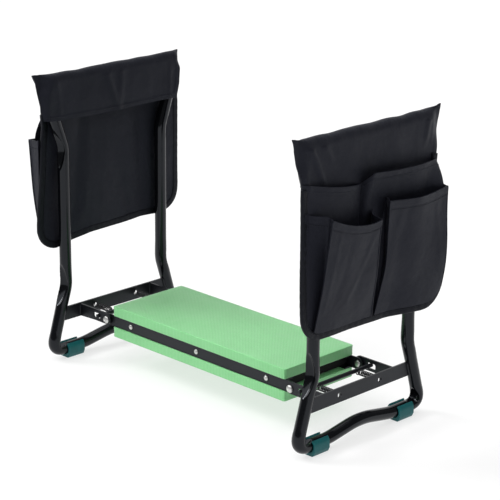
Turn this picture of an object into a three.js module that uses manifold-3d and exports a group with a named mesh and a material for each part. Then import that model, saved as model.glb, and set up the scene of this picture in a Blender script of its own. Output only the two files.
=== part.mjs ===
// Folding garden kneeler seat: a padded board between two folding tube frames, each with a fabric
// tool bag. Millimetres, +X along the seat, +Z up, ground at z = 0, centred on the origin.
import * as THREE from "three";
import Module from "manifold-3d";

const wasm = await Module();
wasm.setup();

// ---- driving dimensions ----
const GAP = 0.3; // clearance left between touching pieces

const PAD = { halfLength: 200, halfWidth: 78.2, thickness: 16.6, corner: 3 };
const RAIL = { bottom: 67.7, height: 19.6, outer: 75.5, inner: 60, wall: 2, channelEnd: 200 };
const BOARD = { halfLength: 190, halfWidth: 73.2, thickness: 14.6 };
const SCREW = { headRadius: 4, headHeight: 2.2, shank: 2, spacing: 157.5 };

const PIVOT = { x: 213.7, z: 77.5 };
const RIVET = { headRadius: 6.2, headHeight: 3.6, shank: 4, tailRadius: 5, tailHeight: 2 };
const EAR = { inner: 78, thickness: 3, below: 8, above: 11.5, noseRadius: 9.75 };
const SLOT = { from: 229.5, to: 247, height: 9.6, corner: 3.4, z: 78.5 };
const LATCH = { x: 234.5, radius: 3.5, halfLength: 84 };
const SPRING = { y: 46, wire: 0.8, radius: 4, turns: 9, from: 239.4, to: 280.4 };

const FRAME_X = 285;
const TUBE_RADIUS = 10;
const TUBE_SIDES = 10;
const FRAME_STEPS = 46;
const TOP_BAR_Z = 480.6;
const FRAME_OUTLINE = [
  // y, z and bend radius of half the loop, from the raised middle of the foot bar to the top bar
  [0, 25.5, 0],
  [14, 25.5, 150],
  [72, 15.6, 150],
  [141.5, 15.6, 19],
  [108, 128, 60],
  [108, 367, 60],
  [146, TOP_BAR_Z, 36],
  [0, TOP_BAR_Z, 0],
];

const CROSS = { bottom: 66.5, top: 90, inner: 281.6, thickness: 3, holeY: 46, holeRadius: 4.2 };
const FOOT = { from: 80, to: 115, radius: 13.4, wall: 3, baseHalfWidth: 9 };

const FABRIC = 2;
const BAG = { halfWidth: 152, bottom: 187, corner: 35, split: 465 };
const SLEEVE = { halfWidth: 152, flapBottom: 415 };
const POCKET_WALL = 1.6;
const UPPER_POCKET = { halfWidth: 148, bottom: 193, mouth: 415, foot: 3.4, lip: 15 };
const LOWER_POCKET = { near: 3, far: 146, bottom: 200, mouth: 373, foot: 3.6, lip: 17 };

// ---- helpers ----
function toSolid(geometry) {
  const flat = geometry.index ? geometry.toNonIndexed() : geometry;
  const position = flat.getAttribute("position");
  const ids = new Map();
  const vertices = [];
  const triangles = [];
  for (let i = 0; i < position.count; i += 1) {
    const p = [position.getX(i), position.getY(i), position.getZ(i)];
    const key = p.map((c) => Math.round(c * 1000)).join();
    if (!ids.has(key)) {
      ids.set(key, vertices.length / 3);
      vertices.push(...p);
    }
    triangles.push(ids.get(key));
  }
  const kept = [];
  for (let i = 0; i < triangles.length; i += 3) {
    const [a, b, c] = triangles.slice(i, i + 3);
    if (a !== b && b !== c && a !== c) kept.push(a, b, c);
  }
  return new wasm.Manifold(
    new wasm.Mesh({
      numProp: 3,
      vertProperties: new Float32Array(vertices),
      triVerts: new Uint32Array(kept),
    }),
  );
}

function toGeometry(solid) {
  const mesh = solid.getMesh();
  const geometry = new THREE.BufferGeometry();
  geometry.setAttribute("position", new THREE.BufferAttribute(mesh.vertProperties.slice(), 3));
  geometry.setIndex([...mesh.triVerts]);
  const flat = geometry.toNonIndexed();
  flat.computeVertexNormals();
  return flat;
}

const subtract = (base, ...tools) =>
  toGeometry(tools.reduce((rest, tool) => rest.subtract(toSolid(tool)), toSolid(base)));
const unite = (...pieces) =>
  toGeometry(pieces.map(toSolid).reduce((whole, piece) => whole.add(piece)));

function block(x0, x1, y0, y1, z0, z1) {
  return new THREE.BoxGeometry(x1 - x0, y1 - y0, z1 - z0).translate(
    (x0 + x1) / 2,
    (y0 + y1) / 2,
    (z0 + z1) / 2,
  );
}

// A flat outline in (x, z), made thick along y from y0 to y1.
function slabXZ(shape, y0, y1, curveSegments = 10) {
  const depth = y1 - y0;
  return new THREE.ExtrudeGeometry(shape, { depth, bevelEnabled: false, curveSegments })
    .rotateX(Math.PI / 2)
    .translate(0, y1, 0);
}

// A flat outline in (y, z), made thick along x from x0 to x1.
function slabYZ(shape, x0, x1, curveSegments = 10) {
  const depth = x1 - x0;
  return new THREE.ExtrudeGeometry(shape, { depth, bevelEnabled: false, curveSegments })
    .rotateX(Math.PI / 2)
    .rotateZ(Math.PI / 2)
    .translate(x0, 0, 0);
}

// A flat outline in (x, y), made thick along z from z0 to z1.
function slabXY(shape, z0, z1, curveSegments = 4) {
  const depth = z1 - z0;
  return new THREE.ExtrudeGeometry(shape, { depth, bevelEnabled: false, curveSegments })
    .translate(0, 0, z0);
}

function polygon(points) {
  return new THREE.Shape(points.map(([a, b]) => new THREE.Vector2(a, b)));
}

function roundedRectangle(halfWidth, halfHeight, radius) {
  const shape = new THREE.Shape();
  const [w, h] = [halfWidth - radius, halfHeight - radius];
  shape.absarc(w, -h, radius, -Math.PI / 2, 0);
  shape.absarc(w, h, radius, 0, Math.PI / 2);
  shape.absarc(-w, h, radius, Math.PI / 2, Math.PI);
  shape.absarc(-w, -h, radius, Math.PI, Math.PI * 1.5);
  return shape;
}

// A cylinder along y from y0 to y1 at (x, z).
function rod(x, z, radius, y0, y1, sides = 16) {
  return new THREE.CylinderGeometry(radius, radius, y1 - y0, sides).translate(x, (y0 + y1) / 2, z);
}

// A turned piece along y: profile of [radius, distance from y0], then placed at (x, z), facing side.
function turned(profile, x, y0, z, side, sides = 16) {
  const geometry = new THREE.LatheGeometry(
    profile.map(([r, h]) => new THREE.Vector2(r, h)),
    sides,
  );
  if (side < 0) geometry.rotateX(Math.PI);
  return geometry.translate(x, side * y0, z);
}

// An outline with each inner corner replaced by a bend of the given radius, as lines and curves.
function bentPath(outline, x) {
  const path = new THREE.CurvePath();
  let last = new THREE.Vector3(x, outline[0][0], outline[0][1]);
  outline.slice(1, -1).forEach(([y, z, radius], i) => {
    const corner = new THREE.Vector3(x, y, z);
    const before = new THREE.Vector3(x, outline[i][0], outline[i][1]).sub(corner).normalize();
    const after = new THREE.Vector3(x, outline[i + 2][0], outline[i + 2][1]).sub(corner).normalize();
    const turn = Math.PI - before.angleTo(after);
    const reach = radius * Math.tan(turn / 2);
    const enter = corner.clone().addScaledVector(before, reach);
    const leave = corner.clone().addScaledVector(after, reach);
    path.add(new THREE.LineCurve3(last, enter));
    path.add(new THREE.QuadraticBezierCurve3(enter, corner, leave));
    last = leave;
  });
  const [y, z] = outline[outline.length - 1];
  path.add(new THREE.LineCurve3(last, new THREE.Vector3(x, y, z)));
  return path;
}

function tubeAlong(path, radius, sides, steps) {
  const ring = [];
  for (let i = 0; i < sides; i += 1) {
    const angle = (2 * Math.PI * (i + 0.5)) / sides;
    ring.push([radius * Math.cos(angle), radius * Math.sin(angle)]);
  }
  return new THREE.ExtrudeGeometry(polygon(ring), { steps, extrudePath: path, bevelEnabled: false });
}

// y of the frame's leg at height z, on the slanted part between the foot bar and the knee.
function legY(z) {
  const [[y0, z0], [y1, z1]] = [FRAME_OUTLINE[3], FRAME_OUTLINE[4]];
  return y0 + ((y1 - y0) * (z - z0)) / (z1 - z0);
}

// ---- materials ----
const material = (color, roughness, metalness = 0) =>
  new THREE.MeshStandardMaterial({ color, roughness, metalness });
const black = material(0x2b2b2e, 0.45, 0.4);
const silver = material(0xc9cbce, 0.3, 0.9);
const oiled = material(0x3c3d40, 0.4, 0.8);
const foam = material(0x93d39a, 0.85);
const board = material(0x242426, 0.7);
const green = material(0x1f5a55, 0.5);
const fabric = material(0x1c1d22, 0.9);

const part = new THREE.Group();
function add(name, geometry, look) {
  const mesh = new THREE.Mesh(geometry, look);
  mesh.name = name;
  part.add(mesh);
}

const ENDS = [
  ["left", -1],
  ["right", 1],
];
const SIDES = [
  ["front", -1],
  ["back", 1],
];

// ---- seat ----
const railTop = RAIL.bottom + RAIL.height;
const railMiddle = RAIL.bottom + RAIL.height / 2;
const padOutline = roundedRectangle(PAD.halfLength, PAD.halfWidth, PAD.corner);
add("pad_top", slabXY(padOutline, railTop + GAP, railTop + GAP + PAD.thickness), foam);
add("pad_bottom", slabXY(padOutline, RAIL.bottom - GAP - PAD.thickness, RAIL.bottom - GAP), foam);
add(
  "seat_board",
  block(
    -BOARD.halfLength,
    BOARD.halfLength,
    -BOARD.halfWidth,
    BOARD.halfWidth,
    railMiddle - BOARD.thickness / 2,
    railMiddle + BOARD.thickness / 2,
  ),
  board,
);

// Channel rail: web and two flanges, with flat tails that run out to the pivots.
function rail() {
  const web = RAIL.outer - RAIL.wall;
  const outline = new THREE.Shape();
  outline.moveTo(-PIVOT.x, RAIL.bottom);
  outline.lineTo(PIVOT.x, RAIL.bottom);
  outline.absarc(PIVOT.x, railMiddle, RAIL.height / 2, -Math.PI / 2, Math.PI / 2);
  outline.lineTo(-PIVOT.x, railTop);
  outline.absarc(-PIVOT.x, railMiddle, RAIL.height / 2, Math.PI / 2, Math.PI * 1.5);
  const holes = [-1, 0, 1].map((k) =>
    rod(k * SCREW.spacing, railMiddle, SCREW.shank + GAP, 60, 80, 10),
  );
  const pivots = [-1, 1].map((k) => rod(k * PIVOT.x, PIVOT.z, RIVET.shank + GAP, 60, 80));
  const end = RAIL.channelEnd;
  const whole = unite(
    slabXZ(outline, web, RAIL.outer),
    block(-end, end, RAIL.inner, RAIL.outer, railTop - RAIL.wall, railTop),
    block(-end, end, RAIL.inner, RAIL.outer, RAIL.bottom, RAIL.bottom + RAIL.wall),
  );
  return subtract(whole, ...holes, ...pivots);
}

SIDES.forEach(([side, s]) => {
  add(`rail_${side}`, s < 0 ? rail().rotateZ(Math.PI) : rail(), black);
  [-1, 0, 1].forEach((k, i) => {
    const { headRadius: r, headHeight: h, shank } = SCREW;
    const inside = BOARD.halfWidth + GAP - RAIL.outer;
    const profile = [[0, inside], [shank, inside], [shank, GAP], [r, GAP], [r, h * 0.5], [r * 0.6, h], [0, h]];
    const head = turned(profile, k * SCREW.spacing, RAIL.outer, railMiddle, s, 12);
    add(`rail_screw_${side}_${i + 1}`, head, silver);
  });
});

// ---- folding frames ----
function ear(s) {
  const [low, high] = [PIVOT.z - EAR.below, PIVOT.z + EAR.above];
  const nose = (low + high) / 2;
  const outline = new THREE.Shape();
  outline.moveTo(CROSS.inner - GAP, low - 2);
  outline.lineTo(CROSS.inner - GAP, high);
  outline.lineTo(PIVOT.x, high);
  outline.absarc(PIVOT.x, nose, EAR.noseRadius, Math.PI / 2, Math.PI * 1.5);
  outline.lineTo(PIVOT.x + 30, low);
  outline.closePath();
  const [y0, y1] = [EAR.inner, EAR.inner + EAR.thickness];
  const slot = roundedRectangle((SLOT.to - SLOT.from) / 2, SLOT.height / 2, SLOT.corner);
  const window = slabXZ(slot, y0 - 1, y1 + 1, 4).translate((SLOT.from + SLOT.to) / 2, 0, SLOT.z);
  const bore = rod(PIVOT.x, PIVOT.z, RIVET.shank + GAP, y0 - 1, y1 + 1);
  const plate = subtract(slabXZ(outline, y0, y1), window, bore);
  return s < 0 ? plate.translate(0, -y0 - y1, 0) : plate;
}

function rivet(s) {
  const { headRadius: r, headHeight: h, shank, tailRadius, tailHeight } = RIVET;
  const outer = EAR.inner + EAR.thickness;
  const tail = RAIL.outer - RAIL.wall - GAP - outer;
  const profile = [
    [0, tail - tailHeight], [tailRadius, tail - tailHeight], [tailRadius, tail], [shank, tail],
    [shank, GAP], [r, GAP], [r, h * 0.45], [r * 0.7, h * 0.85], [0, h],
  ];
  return turned(profile, PIVOT.x, outer, PIVOT.z, s);
}

function crossPlate() {
  const reach = (z) => legY(z) - TUBE_RADIUS - 1;
  const { bottom, top, inner, thickness, holeY, holeRadius } = CROSS;
  const outline = polygon([
    [-reach(bottom), bottom],
    [reach(bottom), bottom],
    [reach(top), top],
    [-reach(top), top],
  ]);
  [-1, 1].forEach((k) => {
    const hole = new THREE.Path();
    hole.absarc(k * holeY, SLOT.z, holeRadius, 0, Math.PI * 2, true);
    outline.holes.push(hole);
  });
  return slabYZ(outline, inner, inner + thickness, 6);
}

function spring(y) {
  const { wire, radius, turns, from, to } = SPRING;
  const points = [];
  const perTurn = 8;
  for (let i = 0; i <= turns * perTurn; i += 1) {
    const angle = (2 * Math.PI * i) / perTurn;
    const x = from + ((to - from) * i) / (turns * perTurn);
    points.push(new THREE.Vector3(x, y + radius * Math.cos(angle), SLOT.z + radius * Math.sin(angle)));
  }
  return tubeAlong(new THREE.CatmullRomCurve3(points), wire, 4, turns * perTurn);
}

// Clip pressed over the foot bar: a tube section, open along its top, on a flat base.
function foot(s) {
  const { from, to, radius, wall, baseHalfWidth } = FOOT;
  const inside = radius - wall;
  const [z, width] = [FRAME_OUTLINE[2][1], to - from];
  const half = Math.PI / 5;
  const ring = new THREE.Shape();
  ring.absarc(0, 0, radius, Math.PI / 2 + half, Math.PI * 2.5 - half);
  ring.absarc(0, 0, inside, Math.PI * 2.5 - half, Math.PI / 2 + half, true);
  ring.closePath();
  const clip = new THREE.ExtrudeGeometry(ring, { depth: width, bevelEnabled: false, curveSegments: 18 })
    .rotateX(Math.PI / 2)
    .translate(FRAME_X, to, z);
  const base = block(FRAME_X - baseHalfWidth, FRAME_X + baseHalfWidth, from, to, 0, z - inside * 0.5);
  const shoe = subtract(unite(clip, base), rod(FRAME_X, z, inside, from - 1, to + 1, 24));
  return s < 0 ? shoe.translate(0, -from - to, 0) : shoe;
}

function bagPanel() {
  const { halfWidth: w, bottom, corner: r, split } = BAG;
  const x = FRAME_X + TUBE_RADIUS + 0.5;
  const outline = new THREE.Shape();
  outline.moveTo(w, split);
  outline.lineTo(-w, split);
  outline.absarc(-w + r, bottom + r, r, Math.PI, Math.PI * 1.5);
  outline.absarc(w - r, bottom + r, r, -Math.PI / 2, 0);
  outline.closePath();
  return slabYZ(outline, x, x + FABRIC, 8);
}

// Sleeve over the top bar: up the outer side, round the bar and down the inner side as a flap.
function bagSleeve() {
  const inside = TUBE_RADIUS + 0.5;
  const outside = inside + FABRIC;
  const shape = new THREE.Shape();
  shape.moveTo(FRAME_X + outside, BAG.split + GAP);
  shape.absarc(FRAME_X, TOP_BAR_Z, outside, 0, Math.PI);
  shape.lineTo(FRAME_X - outside, SLEEVE.flapBottom);
  shape.lineTo(FRAME_X - inside, SLEEVE.flapBottom);
  shape.absarc(FRAME_X, TOP_BAR_Z, inside, Math.PI, 0, true);
  shape.lineTo(FRAME_X + inside, BAG.split + GAP);
  shape.closePath();
  return slabXZ(shape, -SLEEVE.halfWidth, SLEEVE.halfWidth, 8);
}

// A pocket standing off a backing face that leans from x0 at the bottom to x1 at the mouth.
function pocket({ bottom, mouth, foot: thin, lip }, x0, x1, y0, y1) {
  const w = POCKET_WALL;
  const rise = mouth - bottom;
  const backAt = (z) => x0 + ((x1 - x0) * (z - bottom)) / rise;
  const frontAt = (z) => backAt(z) + thin + ((lip - thin) * (z - bottom)) / rise;
  const body = polygon([
    [backAt(bottom), bottom], [frontAt(bottom), bottom], [frontAt(mouth), mouth], [backAt(mouth), mouth],
  ]);
  const [low, high] = [bottom + w, mouth + 1];
  const hollow = polygon([
    [backAt(low) - 1, low], [frontAt(low) - w, low], [frontAt(high) - w, high], [backAt(high) - 1, high],
  ]);
  return subtract(slabXZ(body, y0, y1), slabXZ(hollow, y0 + w, y1 - w));
}

const panelFace = FRAME_X + TUBE_RADIUS + 0.5 + FABRIC + GAP;
const upperFront = (z) => {
  const { bottom, mouth, foot: thin, lip } = UPPER_POCKET;
  return panelFace + thin + ((lip - thin) * (z - bottom)) / (mouth - bottom) + GAP;
};

// One frame built at +X; the left one is the same frame turned half a turn about Z.
function folding(end, s) {
  const put = (name, geometry, look) =>
    add(`${end}_${name}`, s < 0 ? geometry.rotateZ(Math.PI) : geometry, look);
  const halves = [-1, 1].map((k) => {
    const outline = FRAME_OUTLINE.map(([y, z, r], i) => {
      const middle = i === 0 || i === FRAME_OUTLINE.length - 1;
      return [middle ? -k * 0.5 : k * y, z, r];
    });
    return tubeAlong(bentPath(outline, FRAME_X), TUBE_RADIUS, TUBE_SIDES, FRAME_STEPS);
  });
  put("frame", unite(...halves), black);
  put("cross_plate", crossPlate(), black);
  put("latch_rod", rod(LATCH.x, SLOT.z, LATCH.radius, -LATCH.halfLength, LATCH.halfLength, 12), black);
  put("bag_panel", bagPanel(), fabric);
  put("bag_sleeve", bagSleeve(), fabric);
  const { halfWidth, bottom, mouth } = UPPER_POCKET;
  put("pocket_upper", pocket(UPPER_POCKET, panelFace, panelFace, -halfWidth, halfWidth), fabric);
  SIDES.forEach(([side, k]) => {
    // The half turn swaps front and back, so the left frame's pieces are built on the other side.
    const t = s < 0 ? -k : k;
    const { near, far, bottom: low, mouth: high } = LOWER_POCKET;
    const [y0, y1] = t < 0 ? [-far, -near] : [near, far];
    put(`pocket_lower_${side}`, pocket(LOWER_POCKET, upperFront(low), upperFront(high), y0, y1), fabric);
    put(`ear_${side}`, ear(t), black);
    put(`pivot_rivet_${side}`, rivet(t), silver);
    put(`foot_${side}`, foot(t), green);
    put(`spring_${side}`, spring(t * SPRING.y), oiled);
  });
}
ENDS.forEach(([end, s]) => folding(end, s));

export default part;
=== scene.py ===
"""Looks of the folding garden kneeler seat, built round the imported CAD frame. Metres, +Z up."""
import math

import bmesh
import bpy
import numpy as np
from mathutils import Matrix, Vector


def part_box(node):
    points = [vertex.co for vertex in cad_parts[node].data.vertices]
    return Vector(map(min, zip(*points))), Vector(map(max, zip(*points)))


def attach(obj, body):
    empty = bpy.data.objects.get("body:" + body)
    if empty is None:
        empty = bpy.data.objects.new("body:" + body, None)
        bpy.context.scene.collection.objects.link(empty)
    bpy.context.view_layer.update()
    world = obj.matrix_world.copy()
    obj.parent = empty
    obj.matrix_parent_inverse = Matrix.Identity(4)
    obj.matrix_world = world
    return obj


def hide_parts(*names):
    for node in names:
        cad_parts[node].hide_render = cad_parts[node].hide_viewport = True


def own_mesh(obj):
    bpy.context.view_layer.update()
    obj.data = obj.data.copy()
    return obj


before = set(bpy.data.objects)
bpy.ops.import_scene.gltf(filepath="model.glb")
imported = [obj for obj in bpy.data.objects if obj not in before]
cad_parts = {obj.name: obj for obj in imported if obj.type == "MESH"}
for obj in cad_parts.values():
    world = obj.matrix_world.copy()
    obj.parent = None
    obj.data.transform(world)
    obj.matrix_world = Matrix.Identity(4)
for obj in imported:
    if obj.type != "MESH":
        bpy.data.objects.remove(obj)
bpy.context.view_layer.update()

SIDES = (("front", -1), ("back", 1))
ENDS = (("left", -1), ("right", 1))

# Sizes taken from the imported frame.
pad_lo, pad_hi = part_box("pad_top")
low_pad_lo, low_pad_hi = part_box("pad_bottom")
frame_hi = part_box("right_frame")[1]
rivet_lo, rivet_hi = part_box("right_pivot_rivet_front")
plate_lo, plate_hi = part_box("right_cross_plate")
FRAME_X = 0.285
TUBE_R = 0.01
TOP_BAR_Z = frame_hi[2] - TUBE_R
PIVOT_X, PIVOT_Z = (rivet_lo[0] + rivet_hi[0]) / 2, (rivet_lo[2] + rivet_hi[2]) / 2
SLOT_Z = 0.0785
RAIL_FACE = 0.0755
EAR_FACE = 0.081
EAR_BACK = 0.0731
SPRING_FROM, SPRING_TO, SPRING_END = 0.2412, 0.2778, 0.2815
FABRIC = 0.0011
HEM_GAIN = 0.9
SIDE_HEM = 0.0085
MOUTH_HEM = 0.0105


# ------------------------------------------------------------------ materials
def linear(r, g, b):
    """sRGB bytes to linear colour."""
    def one(c):
        c /= 255
        return c / 12.92 if c <= 0.04045 else ((c + 0.055) / 1.055) ** 2.4
    return (one(r), one(g), one(b), 1.0)


class Look:
    """A node material under construction: Object coordinates in, one Principled shader out."""

    def __init__(self, name, roughness=0.5, metallic=0.0, **sockets):
        self.mat = bpy.data.materials.new(name)
        self.mat.use_nodes = True
        self.tree = self.mat.node_tree
        self.bsdf = self.tree.nodes["Principled BSDF"]
        self.bsdf.inputs["Roughness"].default_value = roughness
        self.bsdf.inputs["Metallic"].default_value = metallic
        for key, value in sockets.items():
            self.bsdf.inputs[key.replace("_", " ")].default_value = value
        self.coords = self.node("ShaderNodeTexCoord").outputs["Object"]

    def node(self, kind, **values):
        n = self.tree.nodes.new(kind)
        for key, value in values.items():
            setattr(n, key, value)
        return n

    def link(self, a, b):
        self.tree.links.new(a, b)

    def noise(self, scale, detail=3.0, roughness=0.5, stretch=None):
        n = self.node("ShaderNodeTexNoise")
        n.inputs["Scale"].default_value = scale
        n.inputs["Detail"].default_value = detail
        n.inputs["Roughness"].default_value = roughness
        source = self.coords
        if stretch:
            m = self.node("ShaderNodeMapping")
            m.inputs["Scale"].default_value = stretch
            self.link(self.coords, m.inputs["Vector"])
            source = m.outputs["Vector"]
        self.link(source, n.inputs["Vector"])
        return n.outputs["Fac"]

    def ramp(self, fac, stops):
        n = self.node("ShaderNodeValToRGB")
        ramp = n.color_ramp
        while len(ramp.elements) < len(stops):
            ramp.elements.new(0.5)
        for element, (position, colour) in zip(ramp.elements, stops):
            element.position = position
            element.color = colour
        self.link(fac, n.inputs["Fac"])
        return n.outputs["Color"]

    def math(self, operation, a, b=None):
        n = self.node("ShaderNodeMath", operation=operation)
        for socket, value in zip(n.inputs, (a, b)):
            if value is None:
                continue
            if isinstance(value, (int, float)):
                socket.default_value = value
            else:
                self.link(value, socket)
        return n.outputs[0]

    def axis(self, name):
        n = self.node("ShaderNodeSeparateXYZ")
        self.link(self.coords, n.inputs[0])
        return n.outputs[name]

    def ridges(self, coordinate, pitch, phase=0.0):
        """0..1 wave along one coordinate with this pitch in metres."""
        angle = self.math("MULTIPLY_ADD", coordinate, 2 * math.pi / pitch)
        angle.node.inputs[2].default_value = phase
        return self.math("MULTIPLY_ADD", self.math("SINE", angle), 0.5).node.outputs[0]

    def mottle(self, fac, tone, dark=0.8, low=0.3, high=0.7):
        """Base colour between a darker tone and this tone."""
        self.colour(self.ramp(fac, [(low, [c * dark for c in tone[:3]] + [1]), (high, tone)]))

    def colour(self, socket):
        self.link(socket, self.bsdf.inputs["Base Color"])

    def rough(self, fac, low, high):
        n = self.node("ShaderNodeMapRange")
        n.inputs["To Min"].default_value = low
        n.inputs["To Max"].default_value = high
        self.link(fac, n.inputs["Value"])
        self.link(n.outputs[0], self.bsdf.inputs["Roughness"])

    def bump(self, *layers):
        """Layers of (height, depth in metres)."""
        normal = None
        for height, depth in layers:
            n = self.node("ShaderNodeBump")
            n.inputs["Strength"].default_value = 1.0
            n.inputs["Distance"].default_value = depth
            self.link(height, n.inputs["Height"])
            if normal:
                self.link(normal, n.inputs["Normal"])
            normal = n.outputs["Normal"]
        self.link(normal, self.bsdf.inputs["Normal"])


def powder_coat(name, tone, rough=(0.34, 0.5), level=0.5):
    look = Look(name, metallic=0.0, Specular_IOR_Level=level)
    look.bsdf.inputs["Specular Tint"].default_value = (0.86, 0.91, 1.0, 1.0)
    look.mottle(look.noise(38, 4, 0.6), tone)
    look.rough(look.noise(90, 5, 0.65), *rough)
    look.bump((look.noise(1900, 2, 0.6), 0.000012), (look.noise(420, 2), 0.00003))
    return look.mat


def plated(name, tone):
    look = Look(name, metallic=0.92)
    look.mottle(look.noise(160, 4), tone)
    look.rough(look.noise(300, 4, 0.7), 0.22, 0.42)
    look.bump((look.noise(2600, 2), 0.00003))
    return look.mat


def foam():
    look = Look("foam", Specular_IOR_Level=1.0, Sheen_Weight=1.0, Sheen_Roughness=0.3)
    mottle = look.noise(14, 5, 0.6)
    grain = look.noise(900, 3, 0.7)
    look.colour(look.ramp(mottle, [(0.3, linear(121, 203, 130)), (0.7, linear(128, 210, 137))]))
    look.rough(grain, 0.42, 0.55)
    x, y = look.axis("X"), look.axis("Y")
    pitch = 0.0034
    along = look.math("ADD", x, y)
    across = look.math("SUBTRACT", x, y)
    cells = look.math(
        "MULTIPLY", look.ridges(along, pitch), look.ridges(across, pitch, 0.7)
    )
    look.bump((cells, 0.00035), (grain, 0.00018), (look.noise(60, 2), 0.0006))
    return look.mat


def cloth(name, tone, pitch=0.0011, sheen=0.35):
    look = Look(
        name, Specular_IOR_Level=0.2, Sheen_Weight=sheen, Sheen_Roughness=0.45
    )
    look.bsdf.inputs["Sheen Tint"].default_value = (0.75, 0.8, 1.0, 1.0)
    look.bsdf.inputs["Specular Tint"].default_value = (0.76, 0.8, 1.0, 1.0)
    wide = look.noise(11, 4, 0.6)
    slub = look.noise(260, 3, 0.7, stretch=(1, 1, 0.15))
    both = look.math("MULTIPLY_ADD", slub, 0.45)
    look.link(look.math("MULTIPLY", wide, 0.55), both.node.inputs[2])
    look.mottle(both, tone, 0.72, 0.32, 0.68)
    look.rough(look.noise(140, 4), 0.42, 0.58)
    warp = look.ridges(look.axis("Y"), pitch)
    weft = look.ridges(look.axis("Z"), pitch, 1.3)
    weave = look.math("MULTIPLY", warp, weft)
    soft = look.noise(13, 2, 0.4, stretch=(1, 1, 0.6))
    look.bump((weave, 0.00016), (slub, 0.00007), (look.noise(48, 4, 0.55), 0.0011), (soft, 0.009))
    return look.mat


def moulded(name, tone):
    look = Look(name, Specular_IOR_Level=0.3)
    look.mottle(look.noise(70, 4), tone)
    look.rough(look.noise(240, 3), 0.38, 0.55)
    look.bump((look.noise(1500, 2), 0.00004))
    return look.mat


def board():
    look = Look("board", Specular_IOR_Level=0.2)
    grain = look.noise(30, 6, 0.6, stretch=(0.08, 1, 1))
    look.colour(look.ramp(grain, [(0.3, linear(14, 14, 15)), (0.7, linear(26, 26, 27))]))
    look.rough(grain, 0.6, 0.85)
    look.bump((grain, 0.0002))
    return look.mat


BLACK = powder_coat("powder_coat_tube", linear(8, 9, 12), (0.1, 0.17), 0.32)
BLACK_PLATE = powder_coat("powder_coat_plate", linear(15, 16, 20), (0.32, 0.46), 0.35)
ZINC = plated("zinc_rivet", linear(214, 214, 212))
WIRE = plated("spring_wire", linear(58, 58, 60))
FOAM = foam()
CLOTH = cloth("bag_cloth", linear(21, 22, 29), sheen=0.03)
TAPE = cloth("bag_binding", linear(9, 10, 13), pitch=0.0016, sheen=0.0)
THREAD = cloth("bag_thread", linear(34, 35, 41), pitch=0.0005, sheen=0.05)
TEAL = moulded("foot_plastic", linear(6, 92, 95))
BOARD = board()


# ------------------------------------------------------------------ mesh helpers
def smoothstep(t):
    t = np.clip(t, 0.0, 1.0)
    return t * t * (3 - 2 * t)


def box(node):
    """Corners of a CAD node as arrays."""
    return (np.array(corner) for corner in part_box(node))


def run_length(path):
    """Length along a polyline at each of its points."""
    return np.concatenate([[0], np.cumsum(np.linalg.norm(np.diff(path, axis=0), axis=1))])


def points_at(path, length, at):
    """Points at these lengths along a polyline."""
    return np.stack([np.interp(at, length, path[:, k]) for k in range(path.shape[1])], -1)


def make(name, verts, faces, material, body=None, smooth=True):
    mesh = bpy.data.meshes.new(name)
    mesh.from_pydata([tuple(map(float, v)) for v in verts], [], [tuple(map(int, f)) for f in faces])
    mesh.validate()
    mesh.polygons.foreach_set("use_smooth", [smooth] * len(mesh.polygons))
    mesh.materials.append(material)
    obj = bpy.data.objects.new(name, mesh)
    bpy.context.scene.collection.objects.link(obj)
    if body:
        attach(obj, body)
    return obj


def crisp(obj, angle=35):
    """Shades smooth with sharp edges where faces meet at more than this angle."""
    mesh = obj.data
    bm = bmesh.new()
    bm.from_mesh(mesh)
    limit = math.radians(angle)
    for edge in bm.edges:
        edge.smooth = not (len(edge.link_faces) == 2 and edge.calc_face_angle(0) > limit)
    bm.to_mesh(mesh)
    bm.free()
    return obj


def bevel(obj, width):
    m = obj.modifiers.new("bevel", "BEVEL")
    m.width = width
    m.segments = 2
    m.limit_method = "ANGLE"
    m.angle_limit = math.radians(30)
    m.harden_normals = False
    return obj


def ring_faces(rows, columns, closed_rows=False):
    faces = []
    for i in range(rows if closed_rows else rows - 1):
        j = (i + 1) % rows
        for k in range(columns):
            n = (k + 1) % columns
            faces.append((i * columns + k, i * columns + n, j * columns + n, j * columns + k))
    return faces


def sweep(centres, sections, closed=False):
    """Rings of points: centres (n, 3), sections (n, m, 3) offsets. Returns verts, faces."""
    n, m = sections.shape[:2]
    verts = (np.asarray(centres)[:, None, :] + sections).reshape(-1, 3)
    faces = ring_faces(n, m, closed)
    if not closed:
        faces.append(tuple(range(m))[::-1])
        faces.append(tuple((n - 1) * m + k for k in range(m)))
    return verts, faces


def tangents(points, closed=False):
    p = np.asarray(points, float)
    if closed:
        t = np.roll(p, -1, 0) - np.roll(p, 1, 0)
    else:
        t = np.gradient(p, axis=0)
    return t / np.linalg.norm(t, axis=1)[:, None]


def round_sections(points, radius, sides, side_axis):
    """Circular sections along a path, with frames carried along it."""
    t = tangents(points)
    a = np.array(side_axis, float)
    out = []
    angle = np.linspace(0, 2 * np.pi, sides, endpoint=False)
    for i in range(len(points)):
        a = a - t[i] * (a @ t[i])
        a /= np.linalg.norm(a)
        b = np.cross(t[i], a)
        out.append(radius * (np.cos(angle)[:, None] * a + np.sin(angle)[:, None] * b))
    return np.array(out)


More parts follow.
